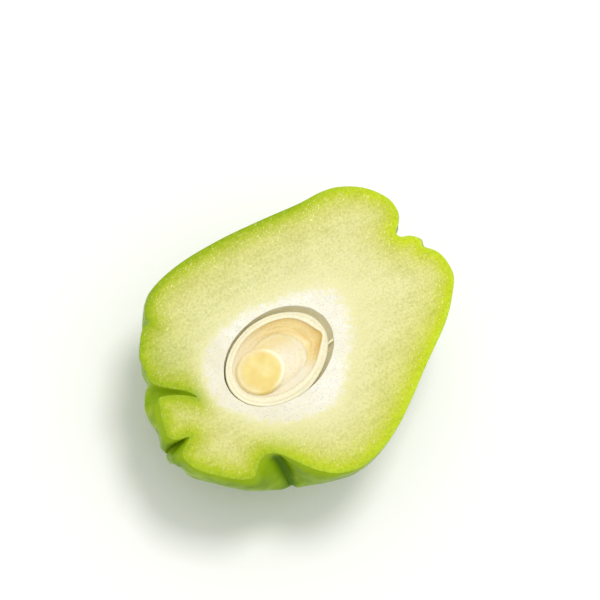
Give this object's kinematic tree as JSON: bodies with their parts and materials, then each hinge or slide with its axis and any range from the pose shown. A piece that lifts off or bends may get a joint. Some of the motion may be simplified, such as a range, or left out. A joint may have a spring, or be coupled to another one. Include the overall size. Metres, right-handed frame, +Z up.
{
  "type": "chayote squash half",
  "caption": "Half of a chayote squash cut lengthwise, with its seed, lying on its rounded green back with the pale cut face up.",
  "frame": {"origin": "on the surface that the half lies on, below the middle of its outline seen from above", "axes": "+X along the fruit from the blossom end to the stem end, +Z up out of the cut face, +Y to the side that completes a right-handed frame"},
  "size_m": [0.1196, 0.0896, 0.038],
  "materials": {
    "fruit": "smooth waxy green skin and moist pale cut flesh",
    "seed_coat": "moist, smooth, cream",
    "seed_kernel": "moist, firm, yellow where cut"
  },
  "bodies": {
    "root": {"fruit_half": "fruit", "seed_coat": "seed_coat", "seed_kernel": "seed_kernel"}
  },
  "joints": []
}
